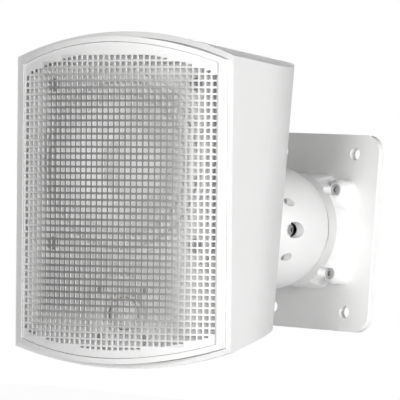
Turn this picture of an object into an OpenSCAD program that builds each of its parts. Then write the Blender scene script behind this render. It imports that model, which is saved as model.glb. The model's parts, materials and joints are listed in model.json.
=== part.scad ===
// Two-way satellite speaker on a ball-joint wall bracket.
// Millimetres. Origin: centre of the wall plate's back face. The wall is the plane y = 0,
// the room is on the -Y side and +Z is up. The cabinet is drawn where the photograph shows it:
// turned, tipped and rolled about the centre of the bracket's ball.

/* [Pose at rest] */
// Turn of the cabinet towards +X, in degrees
pan_rest = 16; // [0:1:20]
// Nose-down tip of the cabinet, in degrees
tilt_rest = 3; // [0:1:12]
// Roll of the cabinet about its own axis, in degrees
twist_rest = 2.5; // [0:0.5:8]

/* [Cabinet] */
// Greatest width of the cabinet shell
cab_w = 136; // [130:1:160]
// Greatest height of the cabinet, top of one arch to bottom of the other
cab_h = 190; // [184:1:220]
// Depth from the front edges to the sloped back, at mid height
cab_depth = 134; // [128:1:160]
// Rise of the top arch
top_sag = 14; // [8:1:18]
// Drop of the bottom arch
bottom_sag = 11; // [8:1:16]
// Lean of the back, deeper at the top, in degrees
back_slope = 10.2; // [6:0.2:11]
// Fall of the roof towards the back, in degrees
roof_fall = 3.5; // [0:0.5:4]
// Rise of the floor towards the back, in degrees
floor_rise = 9.5; // [5:0.5:10]
// Length of the parallel part of each side wall, from the front edges
side_straight = 42; // [35:1:60]
// Radius of the curved rear part of each side wall
side_bend_r = 140; // [130:1:200]
// Wall thickness of the cabinet shell
shell_wall = 3.2; // [2.4:0.2:4]
// Set-back of the shell's front edge behind the front edges of the bezel
shell_setback = 4; // [3:0.5:6]

/* [Front] */
// Radius of the bowed front, seen from above
bow_r = 172; // [165:1:220]
// Gap all round between baffle and shell
baffle_gap = 0.2; // [0.1:0.05:0.3]
// Width of the bezel that frames the grille
bezel_w = 3; // [2.4:0.2:4]
// Distance from the front edges to the face that the drivers screw to
baffle_y = 7; // [6:0.5:9]
// Thickness of the baffle board
baffle_t = 4; // [3:0.5:5]
// Radius of the screw posts inside the shell
post_r = 4.5; // [4:0.5:6]

/* [Grille] */
// Sheet thickness of the grille
grille_t = 1; // [0.8:0.1:1.5]
// Depth of the grille below the face of the bezel
grille_drop = 1.2; // [0.8:0.1:2]
// Gap between grille and bezel
grille_gap = 0.2; // [0.1:0.05:0.3]
// Width of the plain border round the holes
grille_border = 4; // [3:0.5:6]
// Depth of the folded edge of the grille
grille_fold = 5; // [3:0.5:6]
// Distance between neighbouring square holes
grille_pitch = 5.8; // [5.6:0.1:8]
// Width of one bar between two holes
grille_bar = 1.5; // [1:0.1:2]

/* [Woofer] */
// Height of the woofer's axis above the middle of the front
woofer_z = 20; // [18:1:24]
// Side of the square woofer flange
woofer_side = 112; // [108:1:114]
// Thickness of the woofer flange
woofer_flange_t = 2.5; // [1.5:0.5:3]
// Distance between neighbouring woofer screws
woofer_screw_pitch = 90; // [86:1:92]
// Radius of the opening in the woofer flange
woofer_mouth_r = 48.4; // [47:0.2:50]
// Outer radius of the cone
cone_r = 39.3; // [36:0.1:40]
// Radius of the voice coil's former
coil_r = 12.9; // [12:0.1:14]
// Radial gap on each side of the voice coil
coil_gap = 0.4; // [0.3:0.05:0.6]
// Depth of the basket behind the baffle face
basket_depth = 31.6; // [29:0.2:34]
// Outer radius of the woofer magnet
magnet_r = 36; // [32:1:40]
// Thickness of the woofer magnet
magnet_t = 10; // [8:1:12]
// Thickness of each of the woofer's two steel plates
steel_t = 5; // [4:0.5:6]

/* [Tweeter] */
// Distance of the tweeter's axis below the middle of the front
tweeter_drop = 64; // [63:1:66]
// Radius of the tweeter's face plate
tweeter_r = 22; // [20:0.5:23]
// Thickness of the tweeter's face plate
tweeter_t = 3; // [2.5:0.5:4]
// Radius of the dome
dome_r = 9.4; // [8.5:0.1:10]
// Radius of the circle of tweeter screws
tweeter_screw_circle = 18.8; // [18:0.1:19.5]

/* [Terminals] */
// Place of the terminal cup's middle up the sloped back. 24 is level with the middle of the front
terminal_z = 70; // [68:1:74]
// Width of the terminal cup's flange
terminal_w = 54; // [50:1:58]
// Height of the terminal cup's flange
terminal_h = 42; // [38:1:44]
// Depth of the terminal cup
terminal_depth = 15; // [13:1:18]
// Width of one clamp lever
lever_w = 12; // [10:0.5:13]
// Length of one clamp lever below its pivot
lever_len = 15; // [13:0.5:16]
// Radius of the levers' pivots
pivot_r = 1.3; // [1.1:0.1:1.5]

/* [Ball joint] */
// Distance of the ball's centre from the wall
ball_stand = 51; // [51:0.5:54]
// Outer radius of the ball
ball_r = 38.5; // [37.5:0.5:39]
// Wall thickness of the ball
ball_wall = 4; // [3.5:0.25:4.5]
// Radial play between pieces that slide on a sphere
slide_gap = 0.3; // [0.2:0.05:0.4]
// Furthest turn of the ball to either side, in degrees
swing = 24; // [22:1:25]
// Furthest tip of the ball up or down, in degrees
tip = 18; // [16:1:20]
// Distance of the cabinet's front edges from the ball's centre
cab_reach = 198; // [198:1:204]
// Height of the cabinet's middle above the ball's centre
cab_rise = 17; // [15:1:20]
// Radius of the neck that carries the cabinet
neck_r = 14; // [13:0.5:14]
// Radius of the cable way through the neck
cable_way_r = 8; // [6:0.5:9]
// Radial play of the neck in the ball
neck_play = 0.1; // [0.05:0.01:0.1]
// Distance of the neck's locking screw from the ball's centre
lock_reach = 23.5; // [23:0.5:24]
// Radius of the neck's flange
neck_flange_r = 26; // [25:0.5:27]
// Thickness of the neck's flange
neck_flange_t = 5; // [4:0.5:6]
// Distance of the cabinet's mounting boss face from the ball's centre
boss_reach = 60; // [59:0.5:61]
// Radius of the circle of neck flange screws
neck_screw_circle = 20.5; // [20:0.25:21.5]
// Radius of the clamp bolt
bolt_r = 4; // [3:0.5:4]

/* [Wall plate and seat] */
// Width of the wall plate
plate_w = 96; // [92:1:110]
// Height of the wall plate
plate_h = 122; // [116:1:140]
// Corner radius of the wall plate
plate_corner = 11; // [8:1:12]
// Height of the wall plate off the wall
plate_t = 5; // [4.5:0.25:5.5]
// Thickness of the wall plate's face
plate_skin = 2.6; // [2:0.2:3.4]
// Distance between wall holes, left to right
wall_hole_x = 58; // [52:1:64]
// Distance between wall holes, top to bottom
wall_hole_z = 98; // [92:1:98]
// Radius of the wall holes
wall_hole_r = 3.75; // [3:0.25:4]
// Height of the fluted seat on the wall plate
seat_h = 20; // [19:0.5:20]
// Radius of the seat where it meets the wall plate
seat_r = 36.5; // [36:0.5:38]
// Depth of the flutes round the seat
flute_depth = 1.6; // [1:0.1:2]
// Radius of the circle of seat screws
seat_screw_circle = 36.5; // [36:0.5:37.5]
// Radius of the ears that take the seat screws
ear_r = 6.5; // [6:0.25:7]
// Height of the ears
ear_h = 13; // [12:0.5:14]

/* [Hidden] */
$fn = 64;

white_paint = "whitesmoke";
white_plastic = "white";
steel = "silver";
black_steel = "dimgray";
ferrite = "darkslategray";

far = 400;
hair = 0.01;
half_w = cab_w/2;
half_h = cab_h/2;
top_arch_r = (half_w*half_w + top_sag*top_sag)/(2*top_sag);
bottom_arch_r = (half_w*half_w + bottom_sag*bottom_sag)/(2*bottom_sag);
arch_steps = 24;
bend_steps = 14;
// Depth and parallel length measured square to the leaning back
back_y = cab_depth*cos(back_slope);
bend_y = side_straight*cos(back_slope);
// The bezel's front edges lie on the bow at y = 0
bezel_inset = shell_wall + baffle_gap;
bezel_half_w = half_w - bezel_inset;
bow_axis_y = sqrt(bow_r*bow_r - bezel_half_w*bezel_half_w);
opening_inset = bezel_inset + bezel_w;
grille_inset = opening_inset + grille_gap;
baffle_back_y = baffle_y + baffle_t;
// The screw heads lie inside the grille's folded edge
baffle_head_r = 2.6;
post_x = half_w - grille_inset - grille_t - baffle_head_r - slide_gap;
post_web_t = 3;
post_top_z = half_h - top_sag - 9;
post_bottom_z = half_h - bottom_sag - 10;
post_len = 34;
woofer_screw_r = 1.9;
screw_play = 0.2;
ledge_z = 17;
ledge_r = 42;
surround_seat_r = 52;
gasket_t = 2;
skin_t = 0.6;
pole_r = coil_r - 0.3 - coil_gap;
winding_r = coil_r + 0.8;
top_plate_bore = winding_r + coil_gap;
// The face plate's opening clears the tweeter's surround
tweeter_mouth_r = dome_r + 2.3;
// The voice coil starts just under the dome's rim
dome_rim_z = 0.75;
tweeter_screw_r = 1.2;
boss_y = cab_reach - boss_reach;
boss_r = neck_flange_r + 1;
boss_len = 16;
flange_screw_r = 1.9;
spigot_end = 18;
neck_boss_r = 19;
collar_r = 20;
collar_end = 46;
bolt_angle = asin((bolt_r + 1)/(ball_r - ball_wall));
inner_r = ball_r - ball_wall;
dome_out_r = inner_r - slide_gap;
dome_wall = 3;
dome_half_angle = 50;
washer_r = dome_out_r - dome_wall - slide_gap;
washer_half_angle = 15;
washer_wall = 3;
seat_top = plate_t + seat_h;
socket_r = ball_r + slide_gap;
hub_r = 15;
join_z = 16.6;
join_r = 1.25;
lock_r = 3;
groove_depth = 2.2;

// Places

// Turned with the ball about the upright line through its centre
module panned() translate([0, -ball_stand, 0]) rotate([0, 0, pan_rest]) children();
// Turned and tipped: origin at the ball's centre, -Y towards the front
module tipped() panned() rotate([tilt_rest, 0, 0]) children();
// The cabinet's attitude: turned, tipped and rolled
module rolled() tipped() rotate([0, -twist_rest, 0]) children();
// Cabinet frame: origin in the middle of the front edges' plane, +Y to the rear
module in_cabinet() rolled() translate([0, -cab_reach, cab_rise]) children();
// Driver frames: z runs to the rear from the baffle's face
module in_woofer() in_cabinet() translate([0, baffle_y, woofer_z]) rotate([-90, 0, 0]) children();
module in_tweeter() in_cabinet() translate([0, baffle_y, -tweeter_drop]) rotate([-90, 0, 0]) children();
// Back frame: z runs out of the sloped back, y runs down it
module on_back(z) in_cabinet() rotate([-back_slope, 0, 0]) translate([0, back_y, z]) rotate([-90, 0, 0]) children();
// A shape drawn in x and z, carried along y from one depth to another
module along_y(from, to) translate([0, to, 0]) rotate([90, 0, 0]) linear_extrude(to - from) children();
module at_corners(x, y) for (sx = [-1, 1], sy = [-1, 1]) translate([sx*x, sy*y, 0]) children();
module round_about(count, r, start = 0)
    for (i = [0 : count - 1]) rotate([0, 0, start + i*360/count]) translate([r, 0, 0]) children();

// Shapes

function arch(w, apex, r) =
    [for (i = [0 : arch_steps]) let (x = w - 2*w*i/arch_steps) [x, apex - r + sqrt(r*r - x*x)]];

// Region under the roof, drawn in x and z, moved in by g
module under_roof(g) {
    w = half_w - g;
    polygon(concat([[-w, -far], [w, -far]], arch(w, half_h - g, top_arch_r - g)));
}
// Region above the floor
module above_floor(g) {
    w = half_w - g;
    polygon(concat([[-w, far], [w, far]],
        [for (p = arch(w, half_h - g, bottom_arch_r - g)) [p[0], -p[1]]]));
}
// Plan of the cabinet: parallel sides that bend in towards the back
module plan(g) {
    w = half_w - g;
    r = side_bend_r - g;
    end = asin((back_y - g - bend_y)/r);
    side = [for (i = [0 : bend_steps]) let (a = end*i/bend_steps) [w - r + r*cos(a), bend_y + r*sin(a)]];
    left = [for (i = [bend_steps : -1 : 0]) [-side[i][0], side[i][1]]];
    polygon(concat([[-w, -far], [w, -far]], side, left));
}
// The cabinet's form, moved in by g on every side but the front
module cabinet_form(g) intersection() {
    rotate([-back_slope, 0, 0]) translate([0, 0, -far/2]) linear_extrude(far) plan(g);
    rotate([-roof_fall, 0, 0]) along_y(-far/2, far) under_roof(g);
    rotate([floor_rise, 0, 0]) along_y(-far/2, far) above_floor(g);
    along_y(-far/2, far) intersection() { under_roof(g); above_floor(g); }
}
module slab(from, to) translate([-far/2, from, -far/2]) cube([far, to - from, far]);
// Upright cylinder whose front is the bow, set back by d
module bow(d) translate([0, bow_axis_y, -far/2]) cylinder(r = bow_r - d, h = far, $fn = 180);

function rounded_rect(w, h, r, steps = 6) = [
    for (c = [[1, 1, 0], [-1, 1, 90], [-1, -1, 180], [1, -1, 270]], i = [0 : steps])
        let (a = c[2] + 90*i/steps) [c[0]*(w/2 - r) + r*cos(a), c[1]*(h/2 - r) + r*sin(a)]
];
module rounded_plate(w, h, r, t) linear_extrude(t) polygon(rounded_rect(w, h, r));

// A pan-head screw: the head's seat is z = 0, the head stands on the -z side
module pan_screw(head_r, head_h, shank_r, len) {
    difference() {
        translate([0, 0, -head_h]) cylinder(r1 = head_r*0.72, r2 = head_r, h = head_h);
        for (a = [0, 90]) rotate([0, 0, a]) translate([-head_r*0.5, -head_r*0.11, -head_h - hair])
            cube([head_r, head_r*0.22, head_h*0.5]);
    }
    translate([0, 0, -hair]) cylinder(r = shank_r, h = len + hair);
}
// A socket-head screw on the same seat
module socket_screw(head_r, head_h, shank_r, len) difference() {
    union() {
        translate([0, 0, -head_h]) cylinder(r = head_r, h = head_h);
        translate([0, 0, -hair]) cylinder(r = shank_r, h = len + hair);
    }
    translate([0, 0, -head_h - hair]) cylinder(r = head_r*0.56, h = head_h*0.6, $fn = 6);
}
module ring(inner, outer, from, to) translate([0, 0, from]) difference() {
    cylinder(r = outer, h = to - from);
    translate([0, 0, -hair]) cylinder(r = inner, h = to - from + 2*hair);
}
// Part of a ball between two radii, within an angle of the -Z pole or the +Z pole
module ball_cap(inner, outer, half_angle, steps = 12) rotate_extrude() polygon(concat(
    [for (i = [0 : steps]) let (a = half_angle*i/steps) [outer*sin(a), outer*cos(a)]],
    [for (i = [steps : -1 : 0]) let (a = half_angle*i/steps) [inner*sin(a), inner*cos(a)]]));

// Wall bracket

module wall_plate() color(white_paint) rotate([90, 0, 0]) difference() {
    union() {
        difference() {
            rounded_plate(plate_w, plate_h, plate_corner, plate_t);
            translate([0, 0, -hair]) rounded_plate(plate_w - 2*plate_skin, plate_h - 2*plate_skin,
                plate_corner - plate_skin, plate_t - plate_skin);
        }
        at_corners(wall_hole_x/2, wall_hole_z/2) cylinder(r = wall_hole_r + 4, h = plate_t - hair);
        round_about(4, seat_screw_circle, 45) cylinder(r = ear_r, h = plate_t - hair);
        cylinder(r = hub_r, h = plate_t - hair);
    }
    at_corners(wall_hole_x/2, wall_hole_z/2) translate([0, 0, -1]) cylinder(r = wall_hole_r, h = plate_t + 2);
    round_about(4, seat_screw_circle, 45) translate([0, 0, -1]) cylinder(r = flange_screw_r + 0.1, h = plate_t + 2);
    translate([0, 0, -1]) cylinder(r = bolt_r + 0.1, h = plate_t + 2);
}

// Fluted seat: a cup whose rim follows the ball, with four screw ears
module ball_seat() color(white_paint) rotate([90, 0, 0]) difference() {
    union() {
        translate([0, 0, plate_t]) difference() {
            cylinder(r1 = seat_r, r2 = seat_r - 1.5, h = seat_h);
            round_about(12, seat_r + flute_r() - flute_depth) translate([0, 0, -1])
                cylinder(r = flute_r(), h = seat_h + 2);
        }
        round_about(4, seat_screw_circle, 45) translate([0, 0, plate_t]) {
            cylinder(r = ear_r, h = ear_h - 2);
            translate([0, 0, ear_h - 2]) cylinder(r1 = ear_r, r2 = ear_r - 2, h = 2);
        }
    }
    translate([0, 0, ball_stand]) sphere(r = socket_r, $fn = 120);
    translate([0, 0, plate_t - 1]) cylinder(r = 25, h = seat_h);
    round_about(4, seat_screw_circle, 45) {
        translate([0, 0, plate_t - 1]) cylinder(r = flange_screw_r + 0.1, h = ear_h);
        translate([0, 0, plate_t + ear_h - 3]) cylinder(r = 3.6, h = ear_h);
    }
}
function flute_r() = 28;

module seat_screws() color(steel) rotate([90, 0, 0]) round_about(4, seat_screw_circle, 45)
    translate([0, 0, plate_t + ear_h - 3]) mirror([0, 0, 1]) socket_screw(3.4, 2.8, flange_screw_r, 14);

// The bolt that pulls the pressure dome towards the wall
module clamp_bolt() color(steel) translate([0, -ball_stand, 0]) rotate([-90, 0, 0]) {
    head_z = washer_r - washer_wall;
    translate([0, 0, head_z - 5.5]) difference() {
        cylinder(r = 7.5, h = 5.5, $fn = 6);
        translate([0, 0, -1]) cylinder(r = 3, h = 4, $fn = 6);
    }
    translate([0, 0, head_z - hair]) cylinder(r = bolt_r, h = ball_stand - head_z - 0.5);
}
module bolt_washer() color(steel) translate([0, -ball_stand, 0]) rotate([-90, 0, 0]) difference() {
    ball_cap(washer_r - washer_wall + 0.4, washer_r, washer_half_angle);
    translate([0, 0, 1]) cylinder(r = bolt_r + 0.1, h = ball_r);
    cylinder(r = 12, h = washer_r - washer_wall);
}

// Dome with a level slot: it turns with the ball and clamps it from the inside
module pressure_dome() color(steel) panned() rotate([-90, 0, 0]) difference() {
    ball_cap(dome_out_r - dome_wall, dome_out_r, dome_half_angle);
    half_slot = dome_out_r*sin(swing + 1);
    for (s = [-1, 1]) translate([s*half_slot, 0, 0]) cylinder(r = bolt_r + 0.4, h = ball_r);
    translate([-half_slot, -bolt_r - 0.4, 0]) cube([2*half_slot, 2*(bolt_r + 0.4), ball_r]);
}

// The ball, whole, with its inner boss and collar for the neck. z runs to the front
module whole_ball() difference() {
    union() {
        difference() {
            sphere(r = ball_r, $fn = 120);
            difference() {
                sphere(r = inner_r, $fn = 120);
                translate([0, 0, spigot_end - 2]) cylinder(r = neck_boss_r, h = ball_r);
            }
        }
        translate([0, 0, ball_r - 6]) cylinder(r = collar_r, h = collar_end - ball_r + 6);
    }
    translate([0, 0, spigot_end - 3]) cylinder(r = neck_r + neck_play, h = ball_r);
    bolt_window();
    translate([0, 0, lock_reach]) rotate([0, 90, 0]) {
        cylinder(r = lock_r + 0.1, h = ball_r);
        translate([0, 0, lock_seat()]) cylinder(r = 5, h = ball_r);
        for (s = [-1, 1]) translate([0, s*join_z, -ball_r]) cylinder(r = join_r + 0.1, h = 2*ball_r);
        for (s = [-1, 1]) translate([0, s*join_z, join_seat()]) cylinder(r = 2.4, h = ball_r);
    }
}
// Window in the back of the ball for the bolt: wide for the turn, lower for the tip
module bolt_window() intersection() {
    rotate([90, 0, 0]) wedge(swing + bolt_angle);
    rotate([90, 0, 90]) wedge(tip + bolt_angle);
}
module wedge(half_angle) translate([0, 0, -ball_r]) linear_extrude(2*ball_r)
    polygon([[0, 0], [-2*ball_r*tan(half_angle), -2*ball_r], [2*ball_r*tan(half_angle), -2*ball_r]]);
function lock_seat() = sqrt(ball_r*ball_r - lock_reach*lock_reach) - 4;
function join_seat() = sqrt(ball_r*ball_r - lock_reach*lock_reach - join_z*join_z) - 4;

module ball_half(side) color(white_paint) tipped() rotate([90, 0, 0]) intersection() {
    whole_ball();
    translate([side > 0 ? 0 : -far, -far/2, -far/2]) cube([far, far, far]);
}
module ball_half_right() ball_half(1);
module ball_half_left() ball_half(-1);
module ball_joining_screws() color(steel) tipped() rotate([90, 0, 0]) for (s = [-1, 1])
    translate([join_seat(), s*join_z, lock_reach]) rotate([0, -90, 0]) pan_screw(2.2, 1.5, join_r, 2*join_seat() - 4);
module neck_lock_screw() color(steel) tipped() rotate([90, 0, 0]) translate([0, 0, lock_reach])
    rotate([0, 90, 0]) difference() {
        translate([0, 0, neck_r - groove_depth + 0.3]) cylinder(r = lock_r, h = lock_seat() + 1 - neck_r + groove_depth);
        translate([0, 0, lock_seat() - 1]) cylinder(r = 1.6, h = 4, $fn = 6);
    }

// Neck: flange on the cabinet's boss, tube into the ball, groove for the locking screw
module cabinet_neck() color(white_paint) rolled() rotate([90, 0, 0]) difference() {
    union() {
        translate([0, 0, spigot_end]) cylinder(r = neck_r, h = boss_reach - spigot_end - 1);
        translate([0, 0, collar_end + slide_gap]) cylinder(r1 = neck_r + 2, r2 = neck_flange_r - 3,
            h = boss_reach - neck_flange_t - collar_end - slide_gap);
        translate([0, 0, boss_reach - neck_flange_t]) cylinder(r = neck_flange_r, h = neck_flange_t);
    }
    translate([0, 0, spigot_end - 1]) cylinder(r = cable_way_r, h = boss_reach);
    translate([0, 0, lock_reach]) rotate_extrude() translate([neck_r - groove_depth, -lock_r - 0.4])
        square([groove_depth + 1, 2*lock_r + 0.8]);
    round_about(4, neck_screw_circle, 45) translate([0, 0, 1]) {
        cylinder(r = flange_screw_r + 0.1, h = boss_reach + 1);
        cylinder(r = 3.8, h = boss_reach - neck_flange_t + 1);
    }
}
module neck_flange_screws() color(steel) rolled() rotate([90, 0, 0]) round_about(4, neck_screw_circle, 45)
    translate([0, 0, boss_reach - neck_flange_t + 2]) pan_screw(3.5, 2.4, flange_screw_r, 14);

// Cabinet

module rear_cabinet() color(white_plastic) in_cabinet() difference() {
    union() {
        difference() {
            intersection() {
                cabinet_form(0);
                slab(shell_setback, far/2);
            }
            cabinet_form(shell_wall);
        }
        intersection() {
            for (s = [-1, 1], z = [post_top_z, -post_bottom_z]) {
                translate([s*post_x, baffle_back_y, z]) rotate([-90, 0, 0]) cylinder(r = post_r, h = post_len);
                translate([s > 0 ? post_x : -half_w, baffle_back_y, z - post_web_t/2])
                    cube([half_w - post_x, post_len, post_web_t]);
            }
            cabinet_form(shell_wall/2);
        }
        translate([0, boss_y - boss_len, -cab_rise]) rotate([-90, 0, 0]) cylinder(r = boss_r, h = boss_len);
    }
    for (s = [-1, 1], z = [post_top_z, -post_bottom_z]) translate([s*post_x, baffle_back_y - 1, z])
        rotate([-90, 0, 0]) cylinder(r = 1.6, h = 22);
    translate([0, boss_y - boss_len - 1, -cab_rise]) rotate([-90, 0, 0]) {
        cylinder(r = cable_way_r, h = boss_len + 2);
        translate([0, 0, 4]) round_about(4, neck_screw_circle, 45) cylinder(r = flange_screw_r + 0.1, h = boss_len);
    }
    rotate([-back_slope, 0, 0]) translate([0, back_y, terminal_z]) rotate([-90, 0, 0]) {
        translate([0, 0, -shell_wall - 2]) rounded_plate(terminal_w - 10, terminal_h - 10, 4, shell_wall + 4);
        at_corners(terminal_w/2 - 4, terminal_h/2 - 4) translate([0, 0, -shell_wall - 1]) cylinder(r = 1.1, h = shell_wall + 2);
    }
}

module front_baffle() color(white_plastic) in_cabinet() difference() {
    intersection() {
        cabinet_form(bezel_inset);
        slab(-far/2, baffle_back_y);
        bow(0);
    }
    intersection() {
        cabinet_form(opening_inset);
        slab(-far/2, baffle_y);
    }
    translate([0, baffle_y - 1, woofer_z]) rotate([-90, 0, 0]) {
        cylinder(r = woofer_mouth_r + 2.2, h = baffle_t + 2, $fn = 96);
        at_corners(woofer_screw_pitch/2, woofer_screw_pitch/2) cylinder(r = woofer_screw_r, h = baffle_t + 2);
    }
    translate([0, baffle_y - 1, -tweeter_drop]) rotate([-90, 0, 0]) {
        cylinder(r = tweeter_bore(), h = baffle_t + 2);
        round_about(4, tweeter_screw_circle, 45) cylinder(r = tweeter_screw_r, h = baffle_t + 2);
    }
    for (s = [-1, 1], z = [post_top_z, -post_bottom_z]) translate([s*post_x, baffle_y - 1, z])
        rotate([-90, 0, 0]) cylinder(r = 1.9, h = baffle_t + 2);
}
function tweeter_bore() = dome_r + 6.1;
module baffle_screws() color(black_steel) in_cabinet() for (s = [-1, 1], z = [post_top_z, -post_bottom_z])
    translate([s*post_x, baffle_y, z]) rotate([-90, 0, 0]) pan_screw(baffle_head_r, 1.6, 1.5, 16);

// Bowed sheet with square holes and a folded edge
module grille() color(white_paint) in_cabinet() difference() {
    union() {
        intersection() {
            difference() {
                bow(grille_drop);
                bow(grille_drop + grille_t);
            }
            cabinet_form(grille_inset);
            slab(-far/2, baffle_y);
        }
        intersection() {
            difference() {
                cabinet_form(grille_inset);
                cabinet_form(grille_inset + grille_t);
            }
            difference() {
                bow(grille_drop + grille_t/2);
                bow(grille_drop + grille_fold);
            }
            slab(-far/2, baffle_y);
        }
    }
    along_y(-far/4, baffle_y) hole_field();
}
// Square holes on an upright grid, kept clear of the border
module hole_field() {
    side = grille_pitch - grille_bar;
    reach_x = half_w - grille_inset - grille_border - side/2;
    columns = floor(reach_x/grille_pitch - 0.5);
    for (i = [-columns - 1 : columns]) {
        x = (i + 0.5)*grille_pitch;
        top = arch_z(abs(x) + side/2, half_h - grille_inset, top_arch_r) - grille_border - side/2;
        bottom = arch_z(abs(x) + side/2, half_h - grille_inset, bottom_arch_r) - grille_border - side/2;
        for (j = [-floor(bottom/grille_pitch) : floor(top/grille_pitch)])
            translate([x, j*grille_pitch]) square(side, center = true);
    }
}
function arch_z(x, apex, r) = apex - r + sqrt(r*r - x*x);

// Woofer, drawn about its own axis: z runs to the rear from the baffle's face

module woofer_basket() color(black_steel) in_woofer() {
    difference() {
        translate([0, 0, -woofer_flange_t]) rounded_plate(woofer_side, woofer_side, 12, woofer_flange_t);
        translate([0, 0, -woofer_flange_t - 1]) cylinder(r = woofer_mouth_r, h = woofer_flange_t + 2, $fn = 96);
        at_corners(woofer_screw_pitch/2, woofer_screw_pitch/2) translate([0, 0, -woofer_flange_t - 1])
            cylinder(r = woofer_screw_r + screw_play, h = woofer_flange_t + 2);
    }
    difference() {
        rotate_extrude($fn = 96) polygon([
            [woofer_mouth_r + 1.6, -woofer_flange_t/2], [woofer_mouth_r + 1.6, 4], [ledge_r + 1.6, ledge_z + 1.6],
            [magnet_r - 3.4, basket_depth - 6], [magnet_r - 3.4, basket_depth], [top_plate_bore + 3, basket_depth],
            [top_plate_bore + 3, basket_depth - 1.6], [magnet_r - 5, basket_depth - 1.6], [magnet_r - 5, basket_depth - 6],
            [ledge_r - 4, ledge_z], [ledge_r, ledge_z], [woofer_mouth_r, 3.5], [woofer_mouth_r, -woofer_flange_t/2],
        ]);
        for (a = [0 : 60 : 300]) rotate([0, 0, a + 30]) {
            translate([ledge_r - 8, -10, ledge_z + 3]) cube([20, 20, basket_depth - ledge_z - 6]);
            translate([ledge_r, -15, 6]) cube([20, 30, ledge_z - 7]);
        }
    }
}
module woofer_gasket() color(black_steel) in_woofer()
    ring(woofer_mouth_r + 0.4, surround_seat_r, -woofer_flange_t - skin_t - gasket_t, -woofer_flange_t - skin_t);

// Half-roll rubber edge between cone and basket
module woofer_surround() color("black") in_woofer() {
    front = -woofer_flange_t;
    mid = (cone_r + 0.2 + woofer_mouth_r - 1)/2;
    roll = mid - cone_r - 0.2;
    rotate_extrude($fn = 96) polygon(concat(
        [[cone_r - 2, front - skin_t], [cone_r - 2, front]],
        [for (i = [0 : 12]) let (a = 180 - 15*i) [mid + (roll - skin_t)*cos(a), front - skin_t - (roll - skin_t)*sin(a)]],
        [[surround_seat_r, front], [surround_seat_r, front - skin_t]],
        [for (i = [0 : 12]) let (a = 15*i) [mid + roll*cos(a), front - skin_t - roll*sin(a)]]));
}
module woofer_cone() color("gainsboro") in_woofer() {
    front = -woofer_flange_t + 0.1;
    slant = [for (i = [0 : 10]) let (t = i/10) [cone_r - 2 - (cone_r - 2 - coil_r - 0.2)*t, front + 0.8 + 17*pow(t, 1.15)]];
    rotate_extrude($fn = 96) polygon(concat([[cone_r, front]], [[cone_r, front + 0.8]], slant,
        [for (i = [10 : -1 : 0]) slant[i] + [0, -0.9]]));
}
module woofer_dust_cap() color("gray") in_woofer() translate([0, 0, 24.6]) mirror([0, 0, 1])
    ball_cap(22.2, 22.9, asin(16/22.9));
module woofer_voice_coil() color("peru") in_woofer() {
    ring(coil_r - 0.3, coil_r, ledge_z - 3.4, basket_depth + 6);
    ring(coil_r - hair, winding_r, basket_depth - 2, basket_depth + 6);
}
// Corrugated centring ring
module woofer_spider() color("goldenrod") in_woofer() {
    inner = coil_r + 0.2;
    span = ledge_r - 3.5 - inner;
    wave = function(t) ledge_z - skin_t - 0.2 - (t < 1 ? 0.9*(1 - cos(360*5*t)) : 0);
    steps = 60;
    rotate_extrude() polygon(concat(
        [for (i = [0 : steps]) [inner + span*i/steps, wave(i/steps)]], [[ledge_r - 0.2, wave(1)]],
        [[ledge_r - 0.2, wave(1) + skin_t]], [for (i = [steps : -1 : 0]) [inner + span*i/steps, wave(i/steps) + skin_t]]));
}
module woofer_top_plate() color(steel) in_woofer()
    ring(top_plate_bore, magnet_r - 2, basket_depth, basket_depth + steel_t);
module woofer_magnet() color(ferrite) in_woofer()
    ring(top_plate_bore + 3, magnet_r, basket_depth + steel_t, basket_depth + steel_t + magnet_t);
module woofer_pole_plate() color(steel) in_woofer() {
    translate([0, 0, basket_depth + steel_t + magnet_t]) cylinder(r1 = magnet_r - 2, r2 = magnet_r - 4, h = steel_t);
    translate([0, 0, basket_depth]) cylinder(r = pole_r, h = steel_t + magnet_t + 1);
}
module woofer_screws() color(steel) in_woofer() at_corners(woofer_screw_pitch/2, woofer_screw_pitch/2)
    translate([0, 0, -woofer_flange_t]) pan_screw(4, 2.2, woofer_screw_r - 0.1, 12);

// Tweeter, drawn like the woofer

module tweeter_face_plate() color(white_plastic) in_tweeter() difference() {
    translate([0, 0, -tweeter_t]) cylinder(r1 = tweeter_r - 0.6, r2 = tweeter_r, h = tweeter_t);
    translate([0, 0, -tweeter_t - hair]) cylinder(r1 = tweeter_screw_circle - 3, r2 = tweeter_mouth_r + 0.4, h = tweeter_t - 0.8);
    translate([0, 0, -tweeter_t - 1]) cylinder(r = tweeter_mouth_r + 0.4, h = tweeter_t + 2);
    round_about(4, tweeter_screw_circle, 45) translate([0, 0, -tweeter_t - 1]) cylinder(r = tweeter_screw_r + 0.1, h = tweeter_t + 2);
}
module tweeter_dome() color("silver") in_tweeter() translate([0, 0, 9.6]) mirror([0, 0, 1])
    ball_cap(12.6, 13, asin((dome_r - 0.2)/13));
module tweeter_surround() color("dimgray") in_tweeter() rotate_extrude() polygon(concat(
    [for (i = [0 : 8]) let (a = 180*i/8) [dome_r + 1.3 + 1.2*cos(a), -0.2 - 1.2*sin(a)]],
    [for (i = [8 : -1 : 0]) let (a = 180*i/8) [dome_r + 1.3 + 0.9*cos(a), -0.2 - 0.9*sin(a)]]));
module tweeter_voice_coil() color("peru") in_tweeter() ring(dome_r - 0.4, dome_r, dome_rim_z, 5);
module tweeter_top_plate() color(steel) in_tweeter() ring(dome_r + 0.4, tweeter_bore() - 0.5, 0, 2.4);
module tweeter_magnet() color(steel) in_tweeter() {
    translate([0, 0, 1.4]) cylinder(r = dome_r - 0.8, h = 2);
    translate([0, 0, 3.4 - hair]) cylinder(r = dome_r - 1.4, h = 6.6 + hair);
}
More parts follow.
